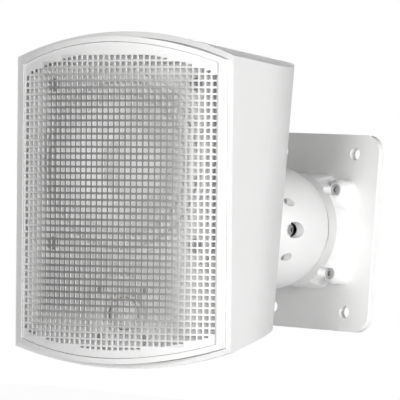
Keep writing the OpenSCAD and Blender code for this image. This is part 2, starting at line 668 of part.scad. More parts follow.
module tweeter_motor_cup() color(steel) in_tweeter() difference() {
    translate([0, 0, 2.4]) cylinder(r = tweeter_bore() - 0.5, h = 10.2);
    translate([0, 0, 1.4]) cylinder(r = tweeter_bore() - 3.1, h = 8.6);
}
module tweeter_screws() color(steel) in_tweeter() round_about(4, tweeter_screw_circle, 45)
    translate([0, 0, -tweeter_t]) pan_screw(2.2, 1.3, tweeter_screw_r - 0.1, 8);

// Terminals on the sloped back. z runs out of the cabinet, y runs down

pocket_w = terminal_w - 14;
pocket_h = terminal_h - 14;
pivot_y = -pocket_h/2 + 4.5;
pivot_z = -3.6;
lever_x = lever_w/2 + 3;
floor_t = 2;
clip_t = 1.2;
pivot_play = 0.06;

module terminal_cup() color("black") on_back(terminal_z) difference() {
    union() {
        translate([0, 0, hair]) rounded_plate(terminal_w, terminal_h, 5, 2);
        translate([0, 0, -terminal_depth]) rounded_plate(pocket_w + 3.6, pocket_h + 3.6, 3, terminal_depth + 1);
    }
    difference() {
        translate([0, 0, -terminal_depth + floor_t]) rounded_plate(pocket_w, pocket_h, 2, terminal_depth + 2);
        for (x = cheek_x()) translate([x, -pocket_h/2, -terminal_depth]) cube([2.4, 12, terminal_depth]);
    }
    translate([0, pivot_y, pivot_z]) rotate([0, 90, 0]) cylinder(r = pivot_r + pivot_play, h = 4*lever_x, center = true);
    for (s = [-1, 1]) translate([s*lever_x, pocket_h/2 - 5, -terminal_depth - 1]) cylinder(r = 1.6, h = 4);
    at_corners(terminal_w/2 - 4, terminal_h/2 - 4) translate([0, 0, -1]) cylinder(r = 1.6, h = 4);
}
// Left faces of the four cheeks that carry the levers' pivots
function cheek_x() = [for (s = [-1, 1], e = [-1, 1]) s*lever_x + e*(lever_w/2 + 1.4) - 1.2];
module terminal_lever(side, tint) color(tint) on_back(terminal_z) translate([side*lever_x, pivot_y, pivot_z]) {
    rotate([0, 90, 0]) cylinder(r = pivot_r, h = lever_w + 4.8, center = true);
    translate([-lever_w/2, 0, -1.5]) difference() {
        cube([lever_w, lever_len, 3]);
        for (i = [0 : 3]) translate([-1, lever_len - 2 - 2.2*i, 2.5]) cube([lever_w + 2, 1, 1]);
    }
    rotate([0, 90, 0]) cylinder(r = 2.2, h = lever_w, center = true);
    nib = terminal_depth + pivot_z - floor_t - clip_t - slide_gap;
    translate([-1.5, lever_len - 4, -nib]) cube([3, 3, nib - 1]);
}
module terminal_lever_right() terminal_lever(1, "firebrick");
module terminal_lever_left() terminal_lever(-1, "dimgray");
module contact_clips() color("gold") on_back(terminal_z) for (s = [-1, 1])
    translate([s*lever_x - 3, pocket_h/2 - 11.4, -terminal_depth + floor_t]) difference() {
        cube([6, 9.4, clip_t]);
        translate([3, 6.4, -1]) cylinder(r = 1.7, h = 4);
    }
module terminal_screws() color(black_steel) on_back(terminal_z) at_corners(terminal_w/2 - 4, terminal_h/2 - 4)
    translate([0, 0, 2 + hair]) mirror([0, 0, 1]) pan_screw(2.4, 1.4, 1, 8);

// Crossover on the back of the terminal cup

board_t = 1.6;
board_z = -terminal_depth - board_t - 1;
module crossover_board() color("darkgreen") on_back(terminal_z) {
    translate([0, 0, board_z]) rounded_plate(46, 38, 1, board_t);
    at_corners(16, 9) translate([0, 0, board_z + board_t - hair]) cylinder(r = 2, h = 1 + hair);
}
module crossover_coil() color("peru") on_back(terminal_z) translate([-11, 4, board_z - 13]) difference() {
    union() {
        ring(4.5, 7.5, 0, 13);
        ring(7.5 - hair, 10.5, 1.5, 11.5);
    }
}
module crossover_capacitors() color("khaki") on_back(terminal_z) for (y = [-9, 5])
    translate([5, y, board_z - 5.5]) rotate([0, 90, 0]) cylinder(r = 5.5, h = 16);
module crossover_resistor() color("gainsboro") on_back(terminal_z) translate([-21, -17, board_z - 6.4]) cube([22, 7, 6.4]);

wall_plate();
ball_seat();
seat_screws();
clamp_bolt();
bolt_washer();
pressure_dome();
ball_half_right();
ball_half_left();
ball_joining_screws();
neck_lock_screw();
cabinet_neck();
neck_flange_screws();
rear_cabinet();
front_baffle();
grille();
baffle_screws();
woofer_basket();
woofer_gasket();
woofer_surround();
woofer_cone();
woofer_dust_cap();
woofer_voice_coil();
woofer_spider();
woofer_top_plate();
woofer_magnet();
woofer_pole_plate();
woofer_screws();
tweeter_face_plate();
tweeter_dome();
tweeter_surround();
tweeter_voice_coil();
tweeter_top_plate();
tweeter_magnet();
tweeter_motor_cup();
tweeter_screws();
terminal_cup();
terminal_lever_right();
terminal_lever_left();
contact_clips();
terminal_screws();
crossover_board();
crossover_coil();
crossover_capacitors();
crossover_resistor();
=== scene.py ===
# %% [markdown]
# # A two-way satellite speaker on its ball-joint wall bracket
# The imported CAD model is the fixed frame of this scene. Every part of it already stands in its
# place, so this script only dresses it: it gives each part a finish, and it builds the parts whose
# fine detail is too much for the CAD model. The scene is in metres, with the wall at y = 0, the room
# on the -Y side and +Z up. Sizes in the code are in millimetres and are multiplied by MM.

# %% Load the frame
import json
import math

import bmesh
import bpy
from mathutils import Matrix, Vector


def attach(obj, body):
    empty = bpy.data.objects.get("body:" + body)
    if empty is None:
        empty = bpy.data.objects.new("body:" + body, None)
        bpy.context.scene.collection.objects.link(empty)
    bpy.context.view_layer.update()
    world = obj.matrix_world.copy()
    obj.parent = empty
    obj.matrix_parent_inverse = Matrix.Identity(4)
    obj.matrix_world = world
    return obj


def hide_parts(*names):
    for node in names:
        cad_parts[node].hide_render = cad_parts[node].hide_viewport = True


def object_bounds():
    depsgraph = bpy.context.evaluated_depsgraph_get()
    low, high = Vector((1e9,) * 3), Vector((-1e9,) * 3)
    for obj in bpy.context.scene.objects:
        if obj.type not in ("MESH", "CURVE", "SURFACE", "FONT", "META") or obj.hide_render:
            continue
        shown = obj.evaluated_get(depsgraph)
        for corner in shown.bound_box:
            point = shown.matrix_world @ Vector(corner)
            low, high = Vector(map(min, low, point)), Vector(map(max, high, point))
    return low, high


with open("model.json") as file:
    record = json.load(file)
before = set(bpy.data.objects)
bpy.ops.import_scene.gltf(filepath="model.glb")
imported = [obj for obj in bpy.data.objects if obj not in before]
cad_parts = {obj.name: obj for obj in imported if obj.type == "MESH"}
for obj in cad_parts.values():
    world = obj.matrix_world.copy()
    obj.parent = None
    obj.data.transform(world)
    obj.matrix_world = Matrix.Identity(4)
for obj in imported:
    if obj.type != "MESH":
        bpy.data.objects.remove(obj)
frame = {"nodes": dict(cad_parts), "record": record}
cad_low, cad_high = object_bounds()
nodes = frame["nodes"]
MM = 0.001
cad_size = [round((b - a) / MM, 1) for a, b in zip(cad_low, cad_high)]
print("CAD box in mm:", cad_size, "with", len(nodes), "nodes")

# %% [markdown]
# The cabinet is turned, tipped and slightly rolled about the centre of the bracket's ball. One matrix
# holds that attitude, so the grille and the other cabinet pieces can be drawn in plain cabinet
# coordinates: x to the right, y to the rear from the plane of the front edges, z up.

# %% The cabinet's attitude
BALL_CENTRE = Vector((0, -51, 0)) * MM
PAN, TILT, TWIST = math.radians(16), math.radians(3), math.radians(2.5)
CABINET_REACH, CABINET_RISE = 198, 17
ball_turn = Matrix.Rotation(PAN, 4, "Z") @ Matrix.Rotation(TILT, 4, "X")
in_cabinet = (
    Matrix.Translation(BALL_CENTRE) @ ball_turn @ Matrix.Rotation(-TWIST, 4, "Y")
    @ Matrix.Translation(Vector((0, -CABINET_REACH, CABINET_RISE)) * MM)
)
print("middle of the front, in mm:", [round(c / MM, 1) for c in in_cabinet.translation])

# %% [markdown]
# The photograph was taken from the front right, a little below the middle of the cabinet, with the
# camera held slightly crooked. A long lens from 1.9 m away gives the same flat perspective. The
# camera aims beside the cabinet, because the wall bracket fills the right of the picture.

# %% Camera
AZIMUTH, ELEVATION, ROLL = math.radians(43), math.radians(-1.1), math.radians(4.1)
DISTANCE, SENSOR, LENS = 1.9, 36.0, 304.3
AIM_RIGHT = 0.0452


def towards(azimuth, elevation):
    """A direction from the object. Azimuth 0 is straight out from the wall, and 90 is +X."""
    flat = math.cos(elevation)
    return Vector((math.sin(azimuth) * flat, -math.cos(azimuth) * flat, math.sin(elevation)))


to_camera = towards(AZIMUTH, ELEVATION)
level_line = Vector((math.cos(AZIMUTH), math.sin(AZIMUTH), 0))
upright = to_camera.cross(level_line)
image_right = level_line * math.cos(ROLL) + upright * math.sin(ROLL)
image_up = upright * math.cos(ROLL) - level_line * math.sin(ROLL)
camera_data = bpy.data.cameras.new("photo_camera")
camera_data.sensor_width = SENSOR
camera_data.lens = LENS
camera = bpy.data.objects.new("photo_camera", camera_data)
bpy.context.scene.collection.objects.link(camera)
stand = in_cabinet.translation + to_camera * DISTANCE
gaze = (in_cabinet.translation + image_right * AIM_RIGHT - stand).normalized()
side = gaze.cross(image_up).normalized()
camera.matrix_world = Matrix.Translation(stand) @ Matrix(
    (side, side.cross(gaze), -gaze)).transposed().to_4x4()
bpy.context.scene.camera = camera
print("camera stands at", [round(c, 3) for c in stand])

# %% [markdown]
# A few helpers keep the node trees short. Each adds one node to a tree or to a node group and
# returns the output that the next node needs. A value can be a number or the output of a node.

# %% Helpers for node trees
MIX_FACTOR, MIX_A, MIX_B, MIX_RESULT = 0, 6, 7, 2  # the colour sockets of a Mix node


def feed(tree, socket, value):
    """Links the output of a node to the socket, or sets the socket to a constant."""
    if isinstance(value, bpy.types.NodeSocket):
        tree.links.new(value, socket)
    else:
        socket.default_value = value


def add_math(tree, operation, *values):
    node = tree.nodes.new("ShaderNodeMath")
    node.operation = operation
    for socket, value in zip(node.inputs, values):
        feed(tree, socket, value)
    return node.outputs[0]


def add_fade(tree, value, start, end, at_start=0.0, at_end=1.0, curve="LINEAR"):
    """Goes from one value to another while the input goes from start to end."""
    node = tree.nodes.new("ShaderNodeMapRange")
    node.interpolation_type = curve
    for name, number in (("Value", value), ("From Min", start), ("From Max", end),
                         ("To Min", at_start), ("To Max", at_end)):
        feed(tree, node.inputs[name], number)
    return node.outputs["Result"]


def add_colour_mix(tree, factor, first, second):
    node = tree.nodes.new("ShaderNodeMix")
    node.data_type = "RGBA"
    for index, value in ((MIX_FACTOR, factor), (MIX_A, first), (MIX_B, second)):
        feed(tree, node.inputs[index], value)
    return node.outputs[MIX_RESULT]


def add_shader_mix(tree, factor, first, second):
    node = tree.nodes.new("ShaderNodeMixShader")
    for socket, value in zip(node.inputs, (factor, first, second)):
        feed(tree, socket, value)
    return node.outputs[0]


def coordinates(tree, kind):
    return tree.nodes.new("ShaderNodeTexCoord").outputs[kind]


def split(tree, vector):
    """The X, Y and Z of a vector, by name."""
    node = tree.nodes.new("ShaderNodeSeparateXYZ")
    feed(tree, node.inputs[0], vector)
    return node.outputs


print("view transform:", bpy.context.scene.view_settings.view_transform, "before the scene sets it")

# %% [markdown]
# The picture is a pale object on white. The world is white to the camera and through clear material,
# and the floor is white to the camera. To everything else the world is grey, brightest all round at
# eye level and darker above and below, so that faces that look up or down are shaded. The floor lies
# well under the speaker, which hangs on a wall.

# %% World and floor
scene = bpy.context.scene
scene.view_settings.view_transform = "Standard"
FILL_LEVEL, FILL_ABOVE_AND_BELOW = 0.40, 0.06
FADE_START, FADE_END = 0.05, 0.85  # height in a direction of length 1
WHITE = (1, 1, 1, 1)
world = bpy.data.worlds.new("studio")
scene.world = world
world.use_nodes = True
tree = world.node_tree
tree.nodes.clear()
steepness = add_math(tree, "ABSOLUTE", split(tree, coordinates(tree, "Generated"))["Z"])
fill = tree.nodes.new("ShaderNodeBackground")  # keeps the node's own colour, a grey of 0.8
feed(tree, fill.inputs["Strength"], add_fade(
    tree, steepness, FADE_START, FADE_END, FILL_LEVEL, FILL_ABOVE_AND_BELOW))
seen = tree.nodes.new("ShaderNodeBackground")
seen.inputs["Color"].default_value = WHITE
path = tree.nodes.new("ShaderNodeLightPath")
is_seen = add_math(tree, "MAXIMUM", path.outputs["Is Camera Ray"], path.outputs["Is Transmission Ray"])
out = tree.nodes.new("ShaderNodeOutputWorld")
feed(tree, out.inputs[0], add_shader_mix(tree, is_seen, fill.outputs[0], seen.outputs[0]))

FLOOR_Z, FLOOR_HALF = -0.42, 6.0
PAPER_TONE, PAPER_GLOW = 0.8, 0.97  # to light, and to the camera
corners = [(x * FLOOR_HALF, y * FLOOR_HALF, FLOOR_Z) for x, y in ((-1, -1), (1, -1), (1, 1), (-1, 1))]
floor_mesh = bpy.data.meshes.new("floor")
floor_mesh.from_pydata(corners, [], [(0, 1, 2, 3)])
floor = bpy.data.objects.new("floor", floor_mesh)
scene.collection.objects.link(floor)
paper = bpy.data.materials.new("white_studio_paper")
paper.use_nodes = True
tree = paper.node_tree
tree.nodes.clear()
matt = tree.nodes.new("ShaderNodeBsdfDiffuse")
matt.inputs["Color"].default_value = (PAPER_TONE, PAPER_TONE, PAPER_TONE, 1)
glow = tree.nodes.new("ShaderNodeEmission")
path = tree.nodes.new("ShaderNodeLightPath")
share = add_math(tree, "MULTIPLY", path.outputs["Is Camera Ray"], PAPER_GLOW)
out = tree.nodes.new("ShaderNodeOutputMaterial")
feed(tree, out.inputs[0], add_shader_mix(tree, share, matt.outputs[0], glow.outputs[0]))
floor_mesh.materials.append(paper)
print("world fill", FILL_LEVEL, "to", FILL_ABOVE_AND_BELOW)

# %% [markdown]
# Three soft lamps do the modelling. The side lamp stands nearly level with the wall, so it lights the
# cabinet's side and the ball but hardly the wall plate. The front lamp throws the cabinet's shade on
# the plate. The rear lamp can't be told in the photo's view, and keeps the back readable.

# %% Lamps
LAMPS = (  # name, azimuth and elevation in degrees, distance and size in metres, level
    ("side_lamp", 84, 6, 1.5, 0.6, 0.78),
    ("front_lamp", 27, 1, 2.0, 0.3, 0.44),
    ("rear_lamp", 222, 6, 1.6, 0.6, 0.36),
)


def soft_lamp(name, azimuth, elevation, distance, size, level):
    """A square lamp aimed at the cabinet. Level is the brightness of a white card that faces it."""
    data = bpy.data.lights.new(name, "AREA")
    data.size = size
    data.energy = level * (math.pi * distance) ** 2
    lamp = bpy.data.objects.new(name, data)
    scene.collection.objects.link(lamp)
    target = in_cabinet.translation
    place = target + towards(math.radians(azimuth), math.radians(elevation)) * distance
    turn = (target - place).to_track_quat("-Z", "Y").to_matrix().to_4x4()
    lamp.matrix_world = Matrix.Translation(place) @ turn


for lamp in LAMPS:
    soft_lamp(*lamp)
print(len(LAMPS), "soft lamps")

# %% [markdown]
# Paint, moulded plastic, steel and paper all differ in a few small ways: a slow drift of tone, a fine
# grain that catches the light, and a roughness that isn't quite even. Those effects are built once as
# node groups with named inputs. Each material then places them with its own values.

# %% Node groups for grain, tone, brushing and weave
FLOAT, COLOUR, VECTOR = "NodeSocketFloat", "NodeSocketColor", "NodeSocketVector"
SLOW_SHARE = 0.03  # scale of the slow drift of roughness, next to that of the grain


def new_group(name, inputs, outputs):
    group = bpy.data.node_groups.new(name, "ShaderNodeTree")
    for title, kind, value in inputs:
        socket = group.interface.new_socket(title, in_out="INPUT", socket_type=kind)
        socket.default_value = value
    for title in outputs:
        kind = COLOUR if title == "Colour" else FLOAT
        group.interface.new_socket(title, in_out="OUTPUT", socket_type=kind)
    return group, group.nodes.new("NodeGroupInput").outputs, group.nodes.new("NodeGroupOutput").inputs


def add_noise(group, vector, scale, detail):
    noise = group.nodes.new("ShaderNodeTexNoise")
    for title, value in (("Vector", vector), ("Scale", scale), ("Detail", detail)):
        feed(group, noise.inputs[title], value)
    return noise.outputs["Fac"]


def roughness_round(group, middle, wander, spread):
    """A roughness that wanders about its middle value."""
    shift = add_math(group, "MULTIPLY", add_math(group, "SUBTRACT", wander, 0.5), spread)
    return add_math(group, "ADD", shift, middle)


grain, given, result = new_group(
    "surface_grain",
    [("Scale", FLOAT, 2500), ("Roughness", FLOAT, 0.5), ("Spread", FLOAT, 0.1)],
    ["Height", "Roughness"])
place = coordinates(grain, "Object")
feed(grain, result["Height"], add_noise(grain, place, given["Scale"], detail=3))
slow = add_noise(grain, place, add_math(grain, "MULTIPLY", given["Scale"], SLOW_SHARE), detail=2)
feed(grain, result["Roughness"], roughness_round(grain, given["Roughness"], slow, given["Spread"]))

tone, given, result = new_group(
    "tone_drift",
    [("Colour", COLOUR, (0.8, 0.8, 0.8, 1)), ("Shade", COLOUR, (0.7, 0.7, 0.7, 1)), ("Scale", FLOAT, 40)],
    ["Colour"])
drift = add_noise(tone, coordinates(tone, "Object"), given["Scale"], detail=4)
feed(tone, result["Colour"], add_colour_mix(tone, drift, given["Colour"], given["Shade"]))

brush, given, result = new_group(
    "brushed_marks",
    [("Scale", FLOAT, 900), ("Stretch", VECTOR, (1, 1, 0.05)),
     ("Roughness", FLOAT, 0.35), ("Spread", FLOAT, 0.2)],
    ["Height", "Roughness"])
stretched = brush.nodes.new("ShaderNodeVectorMath")
stretched.operation = "MULTIPLY"
feed(brush, stretched.inputs[0], coordinates(brush, "Object"))
feed(brush, stretched.inputs[1], given["Stretch"])
marks = add_noise(brush, stretched.outputs[0], given["Scale"], detail=4)
feed(brush, result["Height"], marks)
feed(brush, result["Roughness"], roughness_round(brush, given["Roughness"], marks, given["Spread"]))

weave, given, result = new_group("woven_threads", [("Threads per metre", FLOAT, 1500)], ["Height"])
across = split(weave, coordinates(weave, "Object"))
turns = add_math(weave, "MULTIPLY", given["Threads per metre"], math.tau)
warp = add_math(weave, "SINE", add_math(weave, "MULTIPLY", across["X"], turns))
weft = add_math(weave, "SINE", add_math(weave, "MULTIPLY", across["Z"], turns))
feed(weave, result["Height"], add_math(
    weave, "MULTIPLY_ADD", add_math(weave, "MULTIPLY", warp, weft), 0.5, 0.5))
print("node groups:", [g.name for g in bpy.data.node_groups])

# %% [markdown]
# A finish is a Principled shader in the material itself. Its colour comes from the tone group and its
# roughness and relief from one of the surface groups. What is the same all over, such as metallic or
# coat, is set on the shader's own sockets.

# %% One function that makes a finish
TONE_SCALE, CLOTH_ROUGHNESS, BUMP_STRENGTH = 40, 0.85, 0.5


def place_group(tree, group, **values):
    """Puts a node group in a material. An underscore in a value's name stands for a space."""
    node = tree.nodes.new("ShaderNodeGroup")
    node.node_tree = group
    for name, value in values.items():
        node.inputs[name.replace("_", " ")].default_value = value
    return node.outputs


def finish(name, colour, shade, surface, relief, metallic=0.0, coat=0.0, **values):
    """A material with a drift from colour to shade, and a surface with its relief in mm."""
    material = bpy.data.materials.new(name)
    material.use_nodes = True
    tree = material.node_tree
    shader = tree.nodes["Principled BSDF"].inputs
    shader["Metallic"].default_value = metallic
    shader["Coat Weight"].default_value = coat
    paint = place_group(tree, tone, Colour=(*colour, 1), Shade=(*shade, 1), Scale=TONE_SCALE)
    feed(tree, shader["Base Color"], paint["Colour"])
    skin = place_group(tree, surface, **values)
    feed(tree, shader["Roughness"], skin["Roughness"] if "Roughness" in skin else CLOTH_ROUGHNESS)
    bump = tree.nodes.new("ShaderNodeBump")
    bump.inputs["Strength"].default_value = BUMP_STRENGTH
    bump.inputs["Distance"].default_value = relief * MM
    feed(tree, bump.inputs["Height"], skin["Height"])
    feed(tree, shader["Normal"], bump.outputs["Normal"])
    return material


def grey(level):
    """A grey that is very slightly warm."""
    return (level, level, level * 0.995)


print("finish() is ready")

# %% [markdown]
# One finish for each slot of the record. The photo shows everything behind the mesh as pale, so the
# steel and the rubber of the drivers are pale here, though their slots' names sound dark.

# %% The finishes
FINISHES = {
    "white_paint": finish(
        "white_powder_paint", grey(0.92), grey(0.87), grain, 0.05,
        Scale=1800, Roughness=0.42, Spread=0.1),
    # The bars' dark grey is painted shade; the grille's own paint is the pale border paint.
    "grille_paint": finish(
        "grille_bars_painted_shade", grey(0.23), grey(0.20), grain, 0.02,
        Scale=3000, Roughness=0.45, Spread=0.1),
    "cabinet_plastic": finish(
        "fine_grained_plastic", grey(0.80), grey(0.76), grain, 0.03,
        Scale=2600, Roughness=0.48, Spread=0.12),
    "screw_steel": finish(
        "zinc_screw_steel", grey(0.62), grey(0.50), brush, 0.01, metallic=1.0,
        Scale=1500, Roughness=0.32, Spread=0.2),
    "dark_steel": finish(
        "pale_sheet_steel", grey(0.82), grey(0.76), grain, 0.03,
        Scale=2000, Roughness=0.5, Spread=0.15),
    "magnet_steel": finish(
        "turned_zinc_steel", grey(0.60), grey(0.50), brush, 0.01, metallic=1.0,
        Scale=700, Roughness=0.34, Spread=0.2),
    "ferrite": finish(
        "sintered_ferrite", grey(0.07), grey(0.05), grain, 0.04,
        Scale=1200, Roughness=0.6, Spread=0.2),
    "edge_rubber": finish(
        "moulded_edge_rubber", grey(0.80), grey(0.74), grain, 0.02,
        Scale=2200, Roughness=0.55, Spread=0.1),
    "cone_paper": finish(
        "pressed_cone_paper", grey(0.95), grey(0.90), grain, 0.10,
        Scale=900, Roughness=0.75, Spread=0.1),
    "spider_cloth": finish(
        "resin_stiff_cloth", (0.62, 0.42, 0.20), (0.52, 0.34, 0.15), weave, 0.12,
        Threads_per_metre=1400),
    "dome_cloth": finish(
        "coated_dome_cloth", grey(0.85), grey(0.78), weave, 0.03,
        Threads_per_metre=2600),
    "coil_copper": finish(
        "enamelled_copper", (0.72, 0.38, 0.20), (0.55, 0.27, 0.13), brush, 0.02, metallic=1.0,
        Scale=1200, Roughness=0.3, Spread=0.1),
    "black_plastic": finish(
        "black_moulded_plastic", grey(0.035), grey(0.028), grain, 0.03,
        Scale=2600, Roughness=0.45, Spread=0.12),
    "lever_red": finish(
        "red_lever_plastic", (0.50, 0.02, 0.015), (0.42, 0.015, 0.012), grain, 0.01, coat=0.3,
        Scale=1500, Roughness=0.28, Spread=0.08),
    "lever_black": finish(
        "black_lever_plastic", grey(0.03), grey(0.022), grain, 0.01, coat=0.3,
        Scale=1500, Roughness=0.28, Spread=0.08),
    "contact_brass": finish(
        "contact_brass", (0.78, 0.57, 0.22), (0.68, 0.47, 0.17), brush, 0.01, metallic=1.0,
        Scale=1500, Roughness=0.28, Spread=0.15),
    "board_laminate": finish(
        "green_board_laminate", (0.03, 0.14, 0.06), (0.025, 0.11, 0.05), grain, 0.02,
        Scale=1600, Roughness=0.38, Spread=0.1),
    "capacitor_film": finish(
        "yellow_capacitor_film", (0.70, 0.48, 0.06), (0.60, 0.40, 0.05), grain, 0.01, coat=0.4,
        Scale=900, Roughness=0.3, Spread=0.1),
    "resistor_ceramic": finish(
        "white_resistor_ceramic", grey(0.72), grey(0.64), grain, 0.05,
        Scale=1400, Roughness=0.8, Spread=0.1),
}
BORDER_PAINT = finish(
    "grille_border_paint", grey(0.80), grey(0.76), grain, 0.02,
    Scale=3000, Roughness=0.45, Spread=0.1)
# A near-black strip that is painted shade for the seam between front frame and shell.
SEAM_SHADE_PAINT = finish(
    "dark_seam_shade_bead", grey(0.10), grey(0.07), grain, 0.01,
    Scale=2200, Roughness=0.6, Spread=0.1)
print(len(FINISHES) + 2, "finishes")

# %% [markdown]
# In the photo the grille's bars look grey in the middle and pale towards the rim. A real grille is one
# paint all over, so this is a choice made for the picture: the bars' grey is painted shade, which goes
# over into the border's tone towards the rim. How far a point is from the middle comes from the piece's
# own box, from 0 to 1.

# %% Painted shade on the bars, fading out towards the rim
SHADE_FADE_START, SHADE_FADE_END, UPRIGHT_SHARE = 0.28, 0.44, 0.885
RIM_TONE, MIDDLE = 0.78, 0.5


def from_middle(tree, value):
    return add_math(tree, "ABSOLUTE", add_math(tree, "SUBTRACT", value, MIDDLE))


tree = FINISHES["grille_paint"].node_tree
base = tree.nodes["Principled BSDF"].inputs["Base Color"]
painted_shade_bar_colour = base.links[0].from_socket
box = split(tree, coordinates(tree, "Generated"))
upright_part = add_math(tree, "MULTIPLY", from_middle(tree, box["Z"]), UPRIGHT_SHARE)
farthest = add_math(tree, "MAXIMUM", from_middle(tree, box["X"]), upright_part)
shade_fade_to_rim = add_fade(tree, farthest, SHADE_FADE_START, SHADE_FADE_END, curve="SMOOTHSTEP")
feed(tree, base, add_colour_mix(tree, shade_fade_to_rim, painted_shade_bar_colour, (*grey(RIM_TONE), 1)))
print("bars fade from", SHADE_FADE_START, "to", SHADE_FADE_END, "of the grille's size")

# %% [markdown]
# Moulded and cast parts have no knife edges. The CAD solids stay as they are, and a small bevel that
# Blender adds on top gives each real edge a narrow rounded highlight. Flat faces are made whole
# first, so that the bevel meets no thin slivers. Faces that meet at a shallow angle are shaded
# smooth, so that curves drawn with facets look like curves.

# %% Finish and soften the CAD nodes
SMOOTH_ANGLE, FLAT_ANGLE = math.radians(32), math.radians(0.6)
WELD_DISTANCE, BEVEL_SEGMENTS = 0.002, 3
EDGE_ROUND = {
    "rear_cabinet": 2.4, "front_baffle": 1.2, "wall_plate": 0.6, "ball_seat": 0.4, "cabinet_neck": 0.4}


def smooth_by_angle(mesh):
    """Smooth faces, with the edges that are steeper than SMOOTH_ANGLE marked sharp."""
    mesh.polygons.foreach_set("use_smooth", [True] * len(mesh.polygons))
    form = bmesh.new()
    form.from_mesh(mesh)
    flags = [len(e.link_faces) != 2 or e.calc_face_angle(math.pi) > SMOOTH_ANGLE for e in form.edges]
    form.free()
    sharp = mesh.attributes.get("sharp_edge") or mesh.attributes.new("sharp_edge", "BOOLEAN", "EDGE")
    sharp.data.foreach_set("value", flags)


slot_of = {p["node"]: p["material_slot"] for p in frame["record"]["subparts"]}
for name, node in nodes.items():
    node.data.materials.clear()
    node.data.materials.append(FINISHES[slot_of[name]])
    weld = node.modifiers.new("weld", "WELD")
    weld.merge_threshold = WELD_DISTANCE * MM
    if name in EDGE_ROUND:
        flats = node.modifiers.new("whole_flats", "DECIMATE")
        flats.decimate_type = "DISSOLVE"
        flats.angle_limit = FLAT_ANGLE
        bevel = node.modifiers.new("edge_round", "BEVEL")
        bevel.width = EDGE_ROUND[name] * MM
        bevel.segments = BEVEL_SEGMENTS
        bevel.limit_method = "ANGLE"
        bevel.angle_limit = SMOOTH_ANGLE
        even = node.modifiers.new("even_shading", "WEIGHTED_NORMAL")
        even.keep_sharp = True
print("dressed", len(nodes), "CAD nodes")

# %% [markdown]
# Each piece that is drawn here goes the same way: its faces are turned outwards, it is moved from
# cabinet coordinates to its place, it gets its paint, and it is told which body it moves with.

# %% Functions that put a drawn piece in its place
def drawn(name, form, materials, place):
    """Turns a bmesh into a smooth object in its place."""
    bmesh.ops.recalc_face_normals(form, faces=form.faces)
    open_edges = sum(1 for e in form.edges if len(e.link_faces) != 2)
    triangles = sum(len(f.verts) - 2 for f in form.faces)
    form.transform(place)
    mesh = bpy.data.meshes.new(name)
    form.to_mesh(mesh)
    form.free()
    piece = bpy.data.objects.new(name, mesh)
    scene.collection.objects.link(piece)
    smooth_by_angle(mesh)
    for material in materials:
        mesh.materials.append(material)
    print(name, "has", triangles, "triangles and", open_edges, "open edges")
    return piece


def put(name, form, materials, body, place):
    """A drawn piece that is also told its body."""
    piece = drawn(name, form, materials, place)
    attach(piece, body)
    return piece


print("drawn() and put() are ready")

# %% [markdown]
# The grille is the part that the eye goes to. It is a bowed steel sheet with rows and columns of
# nearly square holes, a plain border at the top and the bottom, and an edge folded to the rear. It
# could be a flat plane with holes and a Simple Deform, but drawing each cell on the bow keeps the
# sheet's thickness even and leaves no stray faces. Columns and rows share their corner points, so the
# sheet is one closed skin. The holes get a small chamfer, as a punched and painted sheet has.

# %% Sizes of the grille, in mm and in cabinet coordinates
HALF_W, HALF_H, TOP_SAG, BOTTOM_SAG = 68.0, 95.0, 14.0, 11.0
BEZEL_INSET, BOW_R, GRILLE_DROP = 3.4, 172.0, 1.2
GRILLE_INSET = 6.65
SHEET_T, FOLD_DEPTH = 0.8, 4.4
COLUMNS, COLUMN_PITCH, ROW_PITCH = 35, 3.54, 3.71
HOLE_W, HOLE_H, HOLE_CORNER, HOLE_CHAMFER = 2.6, 2.6, 0.3, 0.1
BORDER_TOP, BORDER_BOTTOM = 5.6, 4.4
LEAST_HOLE, LEAST_STRIP = 0.8, 0.2  # of a hole cut off by the border, and of a strip at the side
CLEAR_OF_RIM = 0.15
PITCH_PLAY, RIM_PLAY = 0.01, 1e-3  # what still counts as a whole pitch, and as on the rim
BOW_AXIS_Y = math.sqrt(BOW_R**2 - (HALF_W - BEZEL_INSET) ** 2)
SHEET_R = BOW_R - GRILLE_DROP
EDGE_OF_CELL = (ROW_PITCH - HOLE_H) / 2


def arch_height(x, sag, inset):
    """Height of the cabinet's arched outline at x, moved in by inset."""
    r = (HALF_W**2 + sag**2) / (2 * sag) - inset
    return HALF_H - inset - r + math.sqrt(r * r - x * x)


def on_bow(arc, z, depth):
    """A point at an arc length from the middle, a height, and a depth below the sheet's face."""
    angle = arc / SHEET_R
    r = SHEET_R - depth
    return Vector((r * math.sin(angle), BOW_AXIS_Y - r * math.cos(angle), z)) * MM


def top_of(arc):
    return arch_height(SHEET_R * math.sin(arc / SHEET_R), TOP_SAG, GRILLE_INSET)


def bottom_of(arc):
    return -arch_height(SHEET_R * math.sin(arc / SHEET_R), BOTTOM_SAG, GRILLE_INSET)


half_arc = SHEET_R * math.asin((HALF_W - GRILLE_INSET) / SHEET_R)
columns = [(i - COLUMNS / 2) * COLUMN_PITCH for i in range(COLUMNS + 1)]
lines = [-half_arc] + [a for a in columns if abs(a) < half_arc - LEAST_STRIP] + [half_arc]
last_row = math.ceil(HALF_H / ROW_PITCH)
rows = [j * ROW_PITCH for j in range(-last_row, last_row + 1)]
print("grille:", len(lines) - 1, "strips,", round(2 * half_arc, 1), "mm along the bow")

# %% [markdown]
# The sheet is built strip by strip, from the bottom to the top. A cell gets a hole where the hole
# keeps clear of the border. The border follows the arch, so a hole beside it is cut shorter. What
# is left over at the ends of a strip is closed with one plain face.

# %% Build the punched sheet
form = bmesh.new()
known = {}


def point(arc, z, depth):
    """The one vertex at this place, made when it is first asked for."""
    key = (round(arc, 4), round(z, 4), round(depth, 4))
    if key not in known:
        known[key] = form.verts.new(on_bow(arc, z, depth))
    return known[key]


